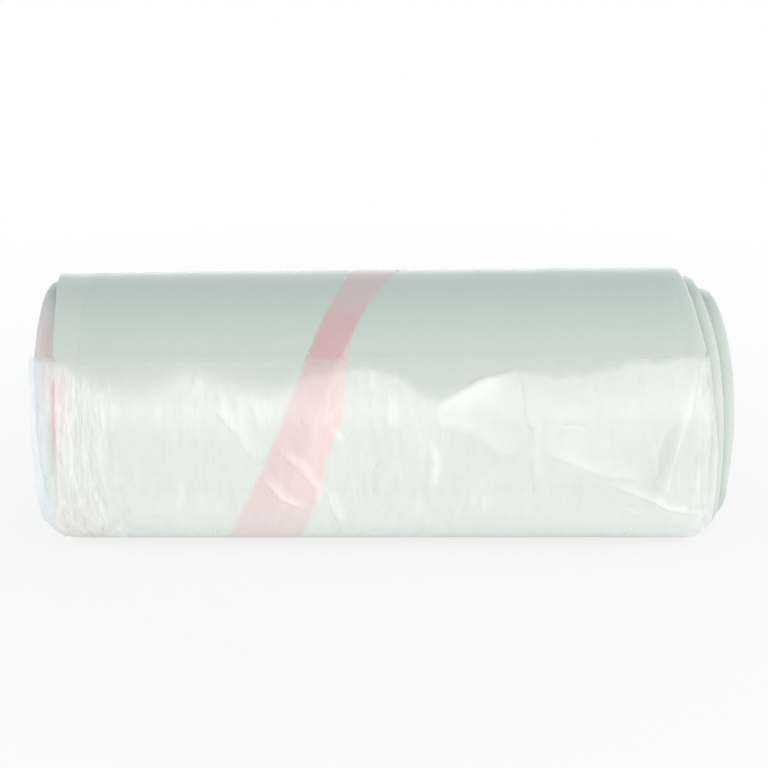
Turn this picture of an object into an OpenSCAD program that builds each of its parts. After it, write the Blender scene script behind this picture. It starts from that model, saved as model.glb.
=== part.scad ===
// A roll of water-soluble laundry bags, lying on its side as it rests.
// The bags are one folded web of thin film, wound on itself without a core.
// The roll's axis runs along X, its front faces -Y, and the origin is the middle of the
// flat spot that it lies on. Going outwards, the web winds from the eye up the front,
// over the top and down the back, and it ends at a free edge on the upper front.

/* [Roll] */
// Width of the folded web, which gives the roll its length
web_w = 228; // [150:1:320]
// Size of the roll from front to back
roll_d = 99; // [76:1:130]
// Height of the roll at its middle
roll_h = 95; // [70:1:120]
// How much higher the right end is than the left end
end_rise = 2.5; // [0:0.1:4]
// Width of the flat spot that the soft roll lies on
flat_w = 36; // [24:1:56]
// How square the section is, from 2 for an ellipse upwards
squareness = 2.25; // [2:0.05:2.6]

/* [Turns] */
// Number of turns in the section, each one a bundle of thin plies
turns = 18; // [10:1:20]
// Width of the eye that the winding mandrel left
eye_w = 22; // [12:1:30]
// Height of the eye
eye_h = 12; // [8:1:18]
// How far past the web's own width the inner turns have slid, at each end
telescope = 8; // [0:0.1:10]
// Number of turns in each of the two outer layers that step back from the inner ones
layer_turns = 2; // [1:1:4]
// How far each of the two outer layers steps back at the right end
right_step = 5; // [0:0.1:6]
// How far the outermost layer steps back at the left end
left_step = 3; // [0:0.1:6]
// How much further the right end reaches at its foot than at its middle
right_lean = 2; // [0:0.1:5]
// The same for the left end
left_lean = 1.5; // [0:0.1:5]
// How far the edge of the web wanders from turn to turn
edge_wander = 0.8; // [0:0.1:1.6]
// Depth of the groove between two turns
groove = 1.2; // [0.4:0.1:2]

/* [Tail] */
// Angle of the web's free edge above the front of the roll
tail_angle = 37; // [20:1:60]
// Thickness of the web at its free edge
tail_t = 0.6; // [0.3:0.1:1.4]
// How far the tail has drifted sideways, past the left end
tail_drift = 3; // [0:0.1:6]
// Swing of the free edge up and down, in degrees round the roll
tail_swing = 1.6; // [0:0.1:3]
// Height of the slack folds in the film below the free edge
slack = 0.8; // [0:0.1:1.2]

/* [Soluble strip] */
// Width of the strip where its two plies lie on each other
strip_w = 13.5; // [8:0.5:24]
// Extra width at its front end, where the two plies have parted
strip_fan = 13; // [0:0.5:18]
// Thickness of the strip
strip_t = 0.4; // [0.2:0.1:1]
// Clearance between the strip and the film that it lies on
strip_gap = 0.3; // [0.2:0.05:0.6]
// Where the strip's left edge crosses the front of the roll
strip_x = -38; // [-60:1:40]
// Slant of the strip to the direction of winding
strip_slant = 21; // [0:1:24]
// Angle between the flat spot and the strip's front end
strip_off_floor = 8; // [6:1:40]
// Angle below the back of the roll at which the strip ends
strip_back_end = 40; // [0:1:50]

/* [Hidden] */

film_colour = [0.86, 0.91, 0.87];
strip_colour = [0.93, 0.74, 0.74];

// Samples in one turn, and in all the turns that lie inside the skin
per_turn = 40;
wound = turns * per_turn;
// Stations of the skin along the axis, and columns of points across the strip
stations = 15;
columns = 4;

// Direction of the front, in degrees from the back over the top
front = 180;
tail_at = front - tail_angle;
// Direction below the front or the back at which the flat spot begins
flat_at = acos(pow(flat_w / roll_d, squareness / 2));
// Share of the last turn in which the skin rises from under the tail to full size
skin_rise = 0.45;
// Share of a turn in which a layer steps back, and over which the tail drifts
step_reach = 0.4;
drift_reach = 0.35;
// Turns of the web from one sideways wave to the next, long waves and short ones
long_wave = 2.7;
short_wave = 1.16;
// How far round from the free edge its swing reaches, and the slack folds below it
swing_reach = 50;
slack_reach = 90;
fold_in = 25;
// Length along the axis of one wave of the free edge, and of one slack fold
swing_wave = 84;
slack_wave = 76;
// Where on its wave the right end, the left end and the free edge starts, in degrees
right_phase = 40;
left_phase = 200;
swing_phase = 30;
// Length at each end over which the swing and the slack folds fade out
fade_l = web_w / 8;
// The outer turn's own rim is rounded back by half a groove
rim = groove / 2;

function smooth(t) = let (c = min(1, max(0, t))) c * c * (3 - 2 * c);
function mix(a, b, t) = a + (b - a) * t;
function signed_power(v, p) = sign(v) * pow(abs(v), p);
function from_ends(x) = smooth((web_w / 2 - abs(x)) / fade_l);

// The section of the roll, a rounded shape that is flat where it lies on the floor
function half_h(x) = (roll_h + end_rise * x / web_w) / 2;
function belly(x) = half_h(x) / pow(1 - pow(flat_w / roll_d, squareness), 1 / squareness);
function section(a, x) =
    let (
        half = half_h(x),
        up = signed_power(sin(a), 2 / squareness)
    )
    [
        roll_d / 2 * signed_power(cos(a), 2 / squareness),
        half + (up > 0 ? half * up : max(-half, belly(x) * up))
    ];
function eye(a) = [eye_w / 2 * cos(a), (roll_h + eye_h * sin(a)) / 2];

// A point between the wall of the eye (share 0) and the section (share 1)
function wound_point(a, x, share) =
    let (yz = mix(eye(a), section(a, x), share))
    [x, yz[0], yz[1]];

// The winding. Sample j lies in this direction, and the skin is its last turn.
function direction(j) = tail_at - 360 * j / per_turn;
function below_tail(j) = 360 * (turns + 1 - j / per_turn);
tail_share = tail_t / norm(section(tail_at, 0) - eye(tail_at));
function inner_share(j) = (1 - tail_share) * j / wound;
function skin_share(j) = 1 - tail_share * (1 - smooth((j - wound) / per_turn / skin_rise));

// The two edges of the web along the winding. The outer layers step back from the inner
// turns, the tail has drifted out again at the left, each end leans out at its foot, and
// every turn wanders a little.
function in_layer(j, layer) =
    smooth((j / per_turn - turns + layer * layer_turns) / step_reach);
function drift(j) = tail_drift * smooth((j / per_turn - turns) / drift_reach + 1);
function wander(j, phase) =
    let (turn = j / per_turn)
    edge_wander * (sin(360 * turn / long_wave + phase) + sin(360 * turn / short_wave + 2 * phase) / 2);
function right_edge(j) =
    web_w / 2 + telescope - right_step * (in_layer(j, 1) + in_layer(j, 2))
    - right_lean * sin(direction(j)) + wander(j, right_phase);
function left_edge(j) =
    -web_w / 2 - telescope + left_step * in_layer(j, 1) - drift(j)
    + left_lean * sin(direction(j)) - wander(j, left_phase);

// Points of the right end: in the groove inside turn j, and on the edge of turn j
function right_groove(j) =
    let (x = min(right_edge(j), right_edge(max(0, j - per_turn))) - groove)
    wound_point(direction(j), x, inner_share(j));
function right_crest(j) = crest(j, right_edge(j));
// Points of the left end
function left_groove(j) =
    let (x = max(left_edge(j), left_edge(max(0, j - per_turn))) + groove)
    wound_point(direction(j), x, inner_share(j));
function left_crest(j) = crest(j, left_edge(j));
function crest(j, x) =
    let (outside = j + per_turn > wound ? skin_share(j + per_turn) : inner_share(j + per_turn))
    wound_point(direction(j), x, (inner_share(j) + outside) / 2);

// The skin: column j of the grid, at station s from left to right
function swing(j, x) =
    let (away = min(below_tail(j), 360 - below_tail(j)))
    tail_swing * from_ends(x) * smooth(1 - away / swing_reach) * sin(360 * x / swing_wave + swing_phase);
function slack_at(j, x) =
    let (
        below = below_tail(j),
        reach = smooth((below + fold_in / 2) / fold_in) * smooth((slack_reach - below) / fold_in)
    )
    slack * reach * from_ends(x)
    * (2 + sin(360 * x / slack_wave + 2 * below) + sin(720 * x / slack_wave - 3 * below)) / 4;
function skin_left(j) = left_edge(j - per_turn) + rim;
function skin_right(j) = right_edge(j - per_turn) - rim;
function skin_point(s, j) =
    let (
        x = mix(skin_left(j), skin_right(j), s / (stations - 1)),
        lift = slack_at(j, x) / norm(section(direction(j), x) - eye(direction(j)))
    )
    wound_point(direction(j) + swing(j, x), x, skin_share(j) + lift);

// A quadrilateral as two triangles, its corners clockwise as seen from outside
function quad(a, b, c, d) = [[a, b, c], [a, c, d]];
function flat_list(list) = [for (part = list) each part];

module bag_roll() {
    skin_n = per_turn + 1;
    // Where each group of points starts in the list, and the number of a point in it
    right_at = skin_n * stations;
    left_at = right_at + wound;
    right_crest_at = left_at + wound;
    left_crest_at = right_crest_at + wound + 1;
    function skin(s, j) = s * skin_n + j - wound;
    function right(j) = j < wound ? right_at + j : skin(stations - 1, j);
    function left(j) = j < wound ? left_at + j : skin(0, j);
    function right_top(j) = right_crest_at + j;
    function left_top(j) = left_crest_at + j;

    points = concat(
        [for (s = [0 : stations - 1], j = [wound : wound + per_turn]) skin_point(s, j)],
        [for (j = [0 : wound - 1]) right_groove(j)],
        [for (j = [0 : wound - 1]) left_groove(j)],
        [for (j = [0 : wound]) right_crest(j)],
        [for (j = [0 : wound]) left_crest(j)]
    );
    skin_faces = flat_list([
        for (s = [0 : stations - 2], j = [wound : wound + per_turn - 1])
            quad(skin(s, j), skin(s, j + 1), skin(s + 1, j + 1), skin(s + 1, j))
    ]);
    // Each turn's edge slopes from its crest into the grooves on both sides of it
    right_faces = flat_list([
        for (j = [0 : wound - 1]) concat(
            quad(right_top(j), right_top(j + 1), right(j + 1), right(j)),
            quad(right(j + per_turn), right(j + 1 + per_turn), right_top(j + 1), right_top(j))
        )
    ]);
    left_faces = flat_list([
        for (j = [0 : wound - 1]) concat(
            quad(left(j), left(j + 1), left_top(j + 1), left_top(j)),
            quad(left_top(j), left_top(j + 1), left(j + 1 + per_turn), left(j + per_turn))
        )
    ]);
    eye_faces = flat_list([
        for (j = [0 : per_turn - 1]) quad(left(j), right(j), right(j + 1), left(j + 1))
    ]);
    // The web's inner end in the eye, and its free edge on the skin
    last = wound + per_turn;
    start_faces = concat(
        quad(right(per_turn), right(0), left(0), left(per_turn)),
        [[right(per_turn), right_top(0), right(0)], [left(0), left_top(0), left(per_turn)]]
    );
    tail_faces = concat(
        flat_list([
            for (s = [0 : stations - 2])
                quad(skin(s, wound), skin(s + 1, wound), skin(s + 1, last), skin(s, last))
        ]),
        [[right(wound), right_top(wound), right(last)], [left(last), left_top(wound), left(wound)]]
    );
    color(film_colour)
        polyhedron(
            points,
            concat(skin_faces, right_faces, left_faces, eye_faces, start_faces, tail_faces),
            convexity = 10
        );
}

// A point on the skin's facets at x, found between two stations of column j
function on_skin(j, x) =
    let (
        place = (x - skin_left(j)) / (skin_right(j) - skin_left(j)) * (stations - 1),
        s = floor(place)
    )
    mix(skin_point(s, j), skin_point(s + 1, j), place - s);
function away_from_eye(j, x) =
    let (out = section(direction(j), x) - eye(direction(j)))
    [0, out[0], out[1]] / norm(out);

module soluble_strip() {
    // The strip runs up the front on the tail, steps over the free edge and lies on the
    // skin from there to the back
    front_samples = floor((tail_angle + flat_at - strip_off_floor) * per_turn / 360);
    back_samples = floor((front - tail_angle + strip_back_end) * per_turn / 360);
    last = wound + per_turn;
    path = concat(
        [for (i = [front_samples : -1 : 0]) last - i],
        [for (i = [1 : back_samples]) wound + i]
    );
    // Angle above the front, going up the front and over the top to the back
    function above_front(k) =
        tail_angle + (k - front_samples) * 360 / per_turn;
    arc = PI * (roll_d + roll_h) / 2 / 360;
    function strip_left(k) = strip_x + arc * above_front(k) * tan(strip_slant);
    function fan(k) = strip_fan * smooth((front_samples - k) / front_samples);
    function strip_point(k, c, lift) =
        let (x = strip_left(k) + (strip_w + fan(k)) * c / (columns - 1))
        on_skin(path[k], x) + lift * away_from_eye(path[k], x);

    rows = len(path);
    inner_at = rows * columns;
    function outer(k, c) = k * columns + c;
    function inner(k, c) = inner_at + k * columns + c;
    points = concat(
        [for (k = [0 : rows - 1], c = [0 : columns - 1]) strip_point(k, c, strip_gap + strip_t)],
        [for (k = [0 : rows - 1], c = [0 : columns - 1]) strip_point(k, c, strip_gap)]
    );
    right_c = columns - 1;
    back = rows - 1;
    wide_faces = flat_list([
        for (k = [0 : rows - 2], c = [0 : columns - 2]) concat(
            quad(outer(k, c), outer(k + 1, c), outer(k + 1, c + 1), outer(k, c + 1)),
            quad(inner(k, c), inner(k, c + 1), inner(k + 1, c + 1), inner(k + 1, c))
        )
    ]);
    side_faces = flat_list([
        for (k = [0 : rows - 2]) concat(
            quad(outer(k, 0), inner(k, 0), inner(k + 1, 0), outer(k + 1, 0)),
            quad(outer(k, right_c), outer(k + 1, right_c), inner(k + 1, right_c), inner(k, right_c))
        )
    ]);
    end_faces = flat_list([
        for (c = [0 : columns - 2]) concat(
            quad(outer(0, c), outer(0, c + 1), inner(0, c + 1), inner(0, c)),
            quad(outer(back, c), inner(back, c), inner(back, c + 1), outer(back, c + 1))
        )
    ]);
    color(strip_colour)
        polyhedron(points, concat(wide_faces, side_faces, end_faces), convexity = 6);
}

bag_roll();
soluble_strip();
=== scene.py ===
# %% [markdown]
# # A roll of water-soluble laundry bags
# A roll like this is one long web of thin, milky film bags, folded once and wound on
# itself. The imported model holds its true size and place, and this lesson dresses it: the
# wound body with its fine turns, the loose last ply that wrinkles over the front, and the
# pink soluble strip that lies between the two. Everything is in metres, in the frame of
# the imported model, so nothing has to be fitted.

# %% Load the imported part
import math

import bpy
import numpy as np
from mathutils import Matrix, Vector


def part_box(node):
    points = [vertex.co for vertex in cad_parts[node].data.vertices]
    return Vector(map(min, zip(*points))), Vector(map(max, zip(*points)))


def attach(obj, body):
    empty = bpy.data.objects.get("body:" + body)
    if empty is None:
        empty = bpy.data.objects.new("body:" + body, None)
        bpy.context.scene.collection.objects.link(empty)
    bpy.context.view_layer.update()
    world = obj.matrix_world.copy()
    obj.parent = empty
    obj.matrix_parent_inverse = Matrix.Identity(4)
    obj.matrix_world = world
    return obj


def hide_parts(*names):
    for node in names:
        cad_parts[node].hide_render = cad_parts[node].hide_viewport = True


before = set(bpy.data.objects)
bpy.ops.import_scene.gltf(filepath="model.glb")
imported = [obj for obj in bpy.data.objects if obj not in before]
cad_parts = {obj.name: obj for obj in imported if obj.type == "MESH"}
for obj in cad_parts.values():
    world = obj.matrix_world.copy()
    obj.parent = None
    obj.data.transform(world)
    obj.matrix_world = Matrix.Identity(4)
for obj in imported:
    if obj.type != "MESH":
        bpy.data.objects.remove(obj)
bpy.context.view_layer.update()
ROLL_LOW, ROLL_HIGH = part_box("bag_roll")
MM = 0.001
print("packed nodes:", len(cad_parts))
print("packed roll, mm:", [round((high - low) / MM, 1) for low, high in zip(ROLL_LOW, ROLL_HIGH)])

# %% [markdown]
# ## The shape of the section
# Seen from its end, a soft roll is no circle. Its own weight squares the section a little
# and presses a flat spot on the floor. A superellipse gives that shape with one exponent,
# which is easier to steer than a hand-drawn outline. A direction of 0 degrees is the back
# of the roll, 90 is its top and 180 its front, and all the pieces are made from directions
# and distances along the axis, so that they nest like the real plies.

# %% Section of the roll, in millimetres
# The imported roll's tail stands off its front, so its box is this much deeper than the section
TAIL_STANDS_OFF = 0.6
DEPTH = (ROLL_HIGH[1] - ROLL_LOW[1]) / MM - TAIL_STANDS_OFF
HEIGHT = 95.0
# Over the web's width the roll gets this much higher, towards its right end
RIGHT_END_RISE = 2.5
WEB = 228.0
FLAT = 36.0
SQUARENESS = 2.25
EYE = (22.0, 12.0)
FRONT = 180.0
NOISE_KNOTS = 4096
print("section of the roll, mm:", round(DEPTH, 1), "by", HEIGHT)


def smooth(value):
    value = np.clip(value, 0.0, 1.0)
    return value * value * (3.0 - 2.0 * value)


def signed_power(value, power):
    return np.sign(value) * np.abs(value) ** power


def section(direction, x):
    angle = np.radians(direction)
    half = (HEIGHT + RIGHT_END_RISE * x / WEB) / 2.0
    belly = half / (1.0 - (FLAT / DEPTH) ** SQUARENESS) ** (1.0 / SQUARENESS)
    rise = signed_power(np.sin(angle), 2.0 / SQUARENESS)
    y = DEPTH / 2.0 * signed_power(np.cos(angle), 2.0 / SQUARENESS)
    z = half + np.where(rise > 0.0, half * rise, np.maximum(-half, belly * rise))
    return np.stack([x + 0.0 * y, y, z + 0.0 * y], axis=-1)


def eye_wall(direction, x):
    angle = np.radians(direction)
    y = EYE[0] / 2.0 * np.cos(angle)
    z = (HEIGHT + EYE[1] * np.sin(angle)) / 2.0
    return np.stack([x + 0.0 * y, y, z + 0.0 * x], axis=-1)


def outwards(direction, x):
    """The direction that faces out of the section, square to it."""
    ahead = section(direction + 0.5, x) - section(direction - 0.5, x)
    normal = np.stack([0.0 * ahead[..., 0], ahead[..., 2], -ahead[..., 1]], axis=-1)
    return normal / np.maximum(np.linalg.norm(normal, axis=-1, keepdims=True), 1e-9)


# %% Smooth random lines
def noise_line(seed, spacing):
    """A smooth random line, as a function of place, that stays near -1 to 1."""
    knots = np.random.default_rng(seed).uniform(-1.0, 1.0, NOISE_KNOTS)

    def line(place):
        position = np.asarray(place) / spacing + NOISE_KNOTS / 2
        below = np.floor(position).astype(int)
        share = smooth(position - below)
        above = (below + 1) % NOISE_KNOTS
        return knots[below % NOISE_KNOTS] * (1.0 - share) + knots[above] * share

    return line


# %% Meshes from points
def make_mesh(name, points_mm, faces, values=None):
    """A mesh object at the origin, from points in millimetres, with values on its points."""
    mesh = bpy.data.meshes.new(name)
    mesh.from_pydata((np.asarray(points_mm) * MM).tolist(), [], faces)
    for key, data in (values or {}).items():
        layer = mesh.attributes.new(key, "FLOAT", "POINT")
        layer.data.foreach_set("value", np.asarray(data, dtype=np.float32).ravel())
    piece = bpy.data.objects.new(name, mesh)
    bpy.context.scene.collection.objects.link(piece)
    return piece


def finish_surface(piece, sharp_degrees):
    bpy.ops.object.select_all(action="DESELECT")
    bpy.context.view_layer.objects.active = piece
    piece.select_set(True)
    bpy.ops.object.shade_smooth_by_angle(angle=math.radians(sharp_degrees))
    piece.select_set(False)
    print(piece.name, "has", len(piece.data.vertices), "points and", len(piece.data.polygons), "faces")


def pass_light(piece):
    """Film this thin passes on the light that falls on it, so it shades nothing below it."""
    piece.visible_shadow = False
    piece.visible_diffuse = False


def grid_faces(rows, columns, start=0):
    """Quadrilaterals of a grid of points, row after row."""
    corner = start + np.arange(rows - 1)[:, None] * columns + np.arange(columns - 1)[None, :]
    quads = np.stack([corner, corner + 1, corner + columns + 1, corner + columns], axis=-1)
    return quads.reshape(-1, 4).tolist()


# %% [markdown]
# ## The wound body
# The body is one closed mesh: a skin round the outside, the wall of the eye that the
# winding mandrel left, and two ends that show the edge of the film. Each end is a spiral
# zigzag between a groove and a crest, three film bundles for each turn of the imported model.
# A disc with a painted spiral would look flat from the side, and separate turns would be
# far too many faces, so the zigzag is the cheapest form that still catches the light. The
# web wanders sideways as it is wound, and its outer layers have stepped back.

# %% Edges of the web along the winding
TURNS = 18
BUNDLES = 3
PER_TURN = 160
WOUND = TURNS * BUNDLES * PER_TURN
LAST = WOUND + PER_TURN
TAIL_ANGLE = 37.0
TAIL_AT = FRONT - TAIL_ANGLE
# The turns of each outer layer, where a layer starts, and the share of a turn of its step
LAYER_TURNS = 2
LAYER_START = 0.4
STEP_REACH = 0.12
# In mm: how far the inner turns have slid out, how deep the groove between two crests is,
# how far the web wanders, and the ruffle of its edge
SLID_OUT = 2.5
GROOVE = 0.55
WANDER = 0.9
RUFFLE = 0.3
# The share by which the outer turns wander less
OUTER_CALM = 0.6
# Where the edges of the web lie, in mm along the axis, by the direction in degrees: the
# outermost layer, the next one and the turns inside them
RIGHT_EDGES = [
    (0.0, 110.0, 115.0, 120.5),
    (60.0, 108.5, 113.6, 119.2),
    (90.0, 108.2, 113.3, 119.0),
    (108.0, 108.7, 114.0, 119.5),
    (128.0, 110.3, 115.5, 120.3),
    (141.0, 112.0, 116.6, 120.9),
    (165.0, 113.2, 118.0, 121.6),
    (178.0, 114.6, 118.6, 121.9),
    (199.0, 115.0, 119.0, 121.6),
    (218.0, 115.0, 119.4, 122.0),
    (240.0, 113.5, 118.8, 121.8),
    (270.0, 112.0, 116.5, 120.5),
    (320.0, 111.0, 115.5, 120.0),
    (360.0, 110.0, 115.0, 120.5),
]
LEFT_EDGES = [
    (0.0, -117.5, -119.0, -120.5),
    (60.0, -119.0, -121.4, -122.8),
    (80.0, -118.6, -121.8, -123.2),
    (94.0, -117.6, -121.8, -123.0),
    (108.0, -115.9, -121.4, -122.6),
    (125.0, -115.0, -121.0, -122.0),
    (142.0, -114.4, -120.4, -121.6),
    (163.0, -113.7, -119.8, -121.0),
    (193.0, -114.2, -119.2, -120.2),
    (215.0, -114.0, -118.8, -120.0),
    (232.0, -113.6, -117.6, -118.6),
    (270.0, -113.4, -117.0, -118.4),
    (320.0, -115.0, -118.0, -119.5),
    (360.0, -117.5, -119.0, -120.5),
]


# %% How the edges of the web wander
def winding_direction(sample):
    return TAIL_AT - 360.0 * sample / PER_TURN


def turn_of(sample):
    return sample / PER_TURN / BUNDLES


def in_layer(turn, layer):
    return smooth((turn - TURNS + layer * LAYER_TURNS - LAYER_START) / STEP_REACH)


wander_right = noise_line(11, 1.3)
wander_left = noise_line(12, 1.3)
ruffle_right = noise_line(13, 0.045)
ruffle_left = noise_line(14, 0.045)


def web_edge(sample, table, outwards_sign, wander, ruffle):
    turn = turn_of(sample)
    places = np.array(table).T
    direction = np.mod(winding_direction(sample), 360.0)
    outer, middle, inner = (np.interp(direction, places[0], row) for row in places[1:])
    inner = inner + outwards_sign * SLID_OUT * (1.0 - turn / TURNS)
    edge = inner + (middle - inner) * in_layer(turn, 2)
    edge = edge + (outer - edge) * in_layer(turn, 1)
    loose_turns = 1.0 - OUTER_CALM * in_layer(turn, 2)
    return edge + loose_turns * WANDER * wander(turn) + RUFFLE * ruffle(turn)


def right_edge(sample):
    return web_edge(sample, RIGHT_EDGES, 1.0, wander_right, ruffle_right)


def left_edge(sample):
    return web_edge(sample, LEFT_EDGES, -1.0, wander_left, ruffle_left)


# %% Skin, ends and eye of the body
STATIONS = 150
END_STATIONS = 28
END_SPACING = 0.5
# Room for the loose ply in mm, below the tail and on the flat spot
UNDER_TAIL = 0.9
UNDER_FLAT = 0.35
FLAT_FRONT = 251.0
FLAT_MIDDLE = 276.0
# Over how many degrees the room for the ply closes: in front, on the flat spot, over the top
FRONT_FADE = 16.0
FLAT_FADE = 10.0
TOP_FADE = 150.0
# In mm: roughly how thick the wound film is, how far its last crest stays below the skin,
# and how far the last lap lies under the tail, over which share of a turn
WALL = 45.0
CREST_BELOW_SKIN = 0.25
LAP_STEP = 0.04
LAP_RISE = 0.4


def inset(direction):
    """How far the skin lies inside the section, which leaves room for the loose last ply."""
    direction = np.mod(direction, 360.0)
    closing = smooth((direction - FLAT_FRONT + FRONT_FADE) / FRONT_FADE)
    front = UNDER_TAIL + (UNDER_FLAT - UNDER_TAIL) * closing
    on_flat = (direction - FLAT_FRONT - FLAT_FADE) / (FLAT_MIDDLE - FLAT_FRONT - FLAT_FADE)
    below = front * (1.0 - smooth(on_flat))
    above = UNDER_TAIL * (1.0 - smooth((TAIL_AT - direction) / TOP_FADE))
    return np.where(direction > TAIL_AT, below, above)


# %% Waves of the tight film
# In mm: the waves along the axis, those round the roll, and the height of the two steps
RIPPLE_ALONG = 0.10
RIPPLE_ROUND = 0.12
STEP_HEIGHTS = (0.12, 0.10)
# Degrees round the flat spot and the back without waves, and over how many they rise
FLAT_CALM = 18.0
FLAT_RISE = 20.0
BACK_RISE = 10.0
# Folded-in layers end here along the axis, and show as faint steps in the skin
STEP_LEFT = -105.5
STEP_RIGHT = 103.5
STEP_FADE = 0.6
ripple_x = noise_line(21, 9.0)
ripple_turn = noise_line(22, 26.0)


def ripple(direction, x):
    """Shallow waves of the tight film, most of them running round the roll."""
    direction = np.mod(direction, 360.0)
    along = ripple_x(x + 0.12 * direction) * RIPPLE_ALONG
    across = ripple_turn(direction + 0.5 * x) * RIPPLE_ROUND
    calm = smooth((np.abs(direction - 270.0) - FLAT_CALM) / FLAT_RISE)
    calm = calm * smooth(np.minimum(direction, 360.0 - direction) / BACK_RISE)
    steps = STEP_HEIGHTS[0] * smooth((x - STEP_LEFT) / STEP_FADE)
    steps = steps + STEP_HEIGHTS[1] * smooth((STEP_RIGHT - x) / STEP_FADE)
    return (along + across + steps - 0.2) * calm


# %% Points of the body
def spread_stations(left, right):
    """Places along the axis between two edges, closer together near the edges."""
    near = END_SPACING * np.arange(END_STATIONS)[:, None]
    middle = np.linspace(0.0, 1.0, STATIONS - 2 * END_STATIONS + 2)[1:-1, None]
    reach = near[-1]
    rows = (left + near, (left + reach) * (1.0 - middle) + (right - reach) * middle, right - near[::-1])
    return np.concatenate([row + 0.0 * left for row in rows])


def skin_point(direction, x):
    """A point on the skin, where direction runs from 0 at the back to 360 under the roll."""
    out = outwards(direction, x)
    depth = inset(direction) - ripple(direction, x)
    return section(direction, x) - depth[..., None] * out


def wound_point(sample, x, share):
    direction = winding_direction(sample)
    inner = eye_wall(direction, x)
    outer = section(direction, x) - inset(np.mod(direction, 360.0))[..., None] * outwards(direction, x)
    return inner + (outer - inner) * share[..., None]


def body_skin():
    """The outside of the body: rows along the axis, each of points round the roll."""
    samples = np.arange(WOUND, LAST + 1)
    left = left_edge(samples - PER_TURN) + GROOVE / 2
    right = right_edge(samples - PER_TURN) - GROOVE / 2
    x = spread_stations(left[None, :], right[None, :])
    direction = np.mod(winding_direction(samples), 360.0)[None, :] + 0.0 * x
    skin = skin_point(direction, x)
    rising = 1.0 - smooth((samples - WOUND) / PER_TURN / LAP_RISE)
    skin -= (LAP_STEP * rising)[None, :, None] * outwards(direction, x)
    return skin.reshape(-1, 3)


def end_points(edge, inwards):
    """The grooves and the crests of one end, wound from the eye to the skin."""
    samples = np.arange(WOUND + 1)
    share_at = samples / WOUND
    here = edge(samples[:-1])
    before = edge(np.maximum(samples[:-1] - PER_TURN, 0))
    pick = np.maximum if inwards > 0 else np.minimum
    groove_x = pick(here, before) + inwards * GROOVE
    grooves = wound_point(samples[:-1], groove_x, share_at[:-1])
    half_turn = 0.5 * PER_TURN / WOUND
    crest_share = np.minimum(share_at + half_turn, 1.0 - CREST_BELOW_SKIN / WALL)
    crests = wound_point(samples, edge(samples), crest_share)
    return grooves, crests


# %% Faces of the body
# The order of its points: skin, right grooves, left grooves, right crests, left crests
COLUMNS = PER_TURN + 1
RIGHT_AT = COLUMNS * STATIONS
LEFT_AT = RIGHT_AT + WOUND
RIGHT_CRESTS_AT = LEFT_AT + WOUND
LEFT_CRESTS_AT = RIGHT_CRESTS_AT + WOUND + 1


def groove(side, sample):
    """The number of a groove's point. The outermost groove is the border of the skin."""
    on_skin = sample - WOUND + (COLUMNS * (STATIONS - 1) if side == "right" else 0)
    start = RIGHT_AT if side == "right" else LEFT_AT
    return np.where(sample < WOUND, start + sample, on_skin)


def end_faces(side, crest_at):
    """The inner and the outer slope of the spiral crest on one end."""
    run = np.arange(WOUND)
    inner = groove(side, run), groove(side, run + 1)
    outer = groove(side, run + PER_TURN), groove(side, run + 1 + PER_TURN)
    crest = crest_at + run, crest_at + run + 1
    slopes = [(crest[0], crest[1], inner[1], inner[0]), (outer[0], outer[1], crest[1], crest[0])]
    faces = []
    for corners in slopes:
        if side == "left":
            corners = corners[::-1]
        faces += np.stack(corners, axis=-1).tolist()
    return faces


def closing_faces():
    """The wall of the eye, and the steps where the winding starts and where it ends."""

    def one(side, sample):
        return int(groove(side, np.array(sample)))

    first = np.arange(PER_TURN)
    eye_first = groove("left", first), groove("right", first)
    eye_next = groove("right", first + 1), groove("left", first + 1)
    faces = np.stack([*eye_first, *eye_next], axis=-1).tolist()
    faces.append([one("right", PER_TURN), one("right", 0), one("left", 0), one("left", PER_TURN)])
    faces.append([one("right", PER_TURN), RIGHT_CRESTS_AT, one("right", 0)])
    faces.append([one("left", 0), LEFT_CRESTS_AT, one("left", PER_TURN)])
    for station in range(STATIONS - 1):
        row = station * COLUMNS
        faces.append([row, row + COLUMNS, row + COLUMNS + PER_TURN, row + PER_TURN])
    faces.append([one("right", WOUND), RIGHT_CRESTS_AT + WOUND, one("right", LAST)])
    faces.append([one("left", LAST), LEFT_CRESTS_AT + WOUND, one("left", WOUND)])
    return faces


# %% Make the wound body
def wound_body():
    right_grooves, right_crests = end_points(right_edge, -1.0)
    left_grooves, left_crests = end_points(left_edge, 1.0)
    points = np.concatenate([body_skin(), right_grooves, left_grooves, right_crests, left_crests])
    faces = grid_faces(STATIONS, COLUMNS)
    faces += end_faces("right", RIGHT_CRESTS_AT) + end_faces("left", LEFT_CRESTS_AT)
    faces += closing_faces()
    number = np.arange(len(points))
    on_skin = number < COLUMNS * STATIONS
    on_crest = number >= RIGHT_CRESTS_AT
    values = {"crest": np.where(on_skin | on_crest, 1.0, 0.0), "turns": np.where(on_skin, 0.0, 1.0)}
    return make_mesh("wound_web", points, [face[::-1] for face in faces], values)


wound_web = wound_body()
finish_surface(wound_web, 45.0)
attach(wound_web, "root")
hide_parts("bag_roll")

# %% [markdown]
# ## The soluble strip
# A strip of pink film that dissolves in the wash is bonded across the web. It slants round
# the roll, and lower down its two plies have parted, so it looks wider and paler there.
# Two thin ribbons that follow the skin do that, because each can have its own width, and a
# ribbon with a real edge catches light in a way that a painted band does not.

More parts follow.
